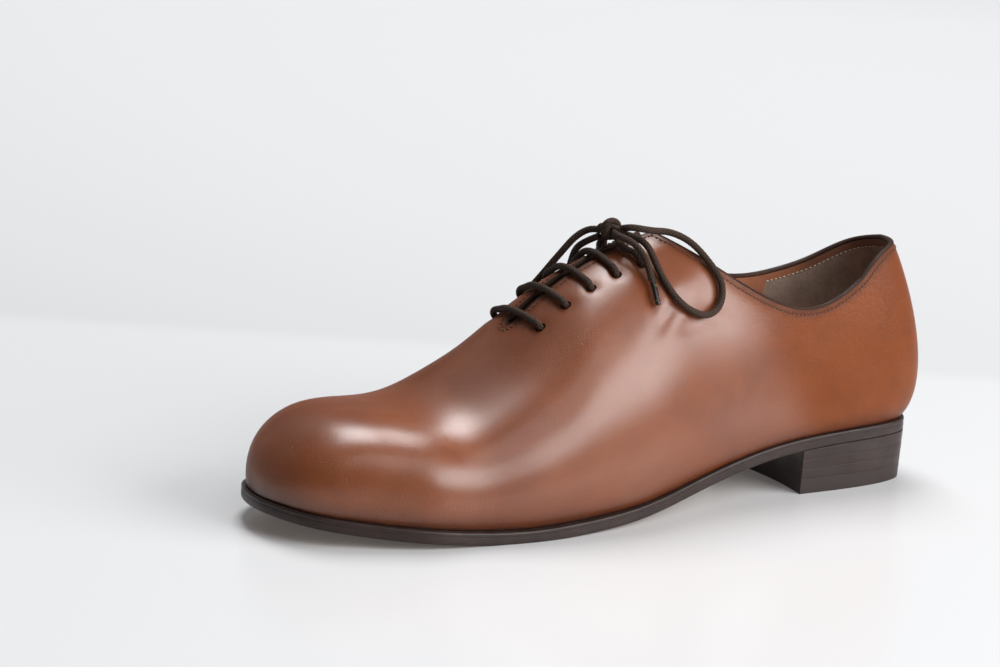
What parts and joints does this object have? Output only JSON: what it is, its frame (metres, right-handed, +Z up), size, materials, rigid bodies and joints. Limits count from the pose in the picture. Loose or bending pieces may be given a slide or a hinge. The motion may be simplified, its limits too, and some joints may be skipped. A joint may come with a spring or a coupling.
{
  "type": "whole cut oxford shoe",
  "caption": "Left dress shoe with a one-piece calf upper, closed lacing tied in a bow, bound topline, leather sole and stacked heel.",
  "frame": {"origin": "bottom centre of the shoe's box without the free lace, on the floor", "axes": "+X to the toe, +Y to the outer (lateral) side of this left shoe, +Z up"},
  "size_m": [0.2954, 0.0978, 0.1097],
  "materials": {
    "calf": "cognac brown polished calf with darker burnishing and a soft sheen",
    "dark_trim": "dark brown rolled leather binding and tongue",
    "lining": "tan lining leather, taupe suede at the heel",
    "insole": "natural leather sock",
    "sole_edge": "near-black brown dyed and waxed sole leather",
    "sole_bottom": "natural oak-bark sole leather",
    "top_piece": "matt dark rubber",
    "lace": "round waxed cotton braid",
    "aglet": "dark shrunk plastic tip",
    "thread": "beige and brown waxed thread"
  },
  "bodies": {
    "root": {"upper": "calf", "tongue": "dark_trim", "topline_binding": "dark_trim", "insole": "insole", "welt": "sole_edge", "outsole": "sole_edge", "heel_lift_1": "sole_edge", "heel_lift_2": "sole_edge", "heel_lift_3": "sole_edge", "heel_top_piece": "top_piece", "lace_bars": "lace", "lace_knot": "lace", "near_loop": "lace", "far_loop": "lace", "near_end": "lace", "far_end": "lace", "near_aglet": "aglet", "far_aglet": "aglet"}
  },
  "joints": []
}
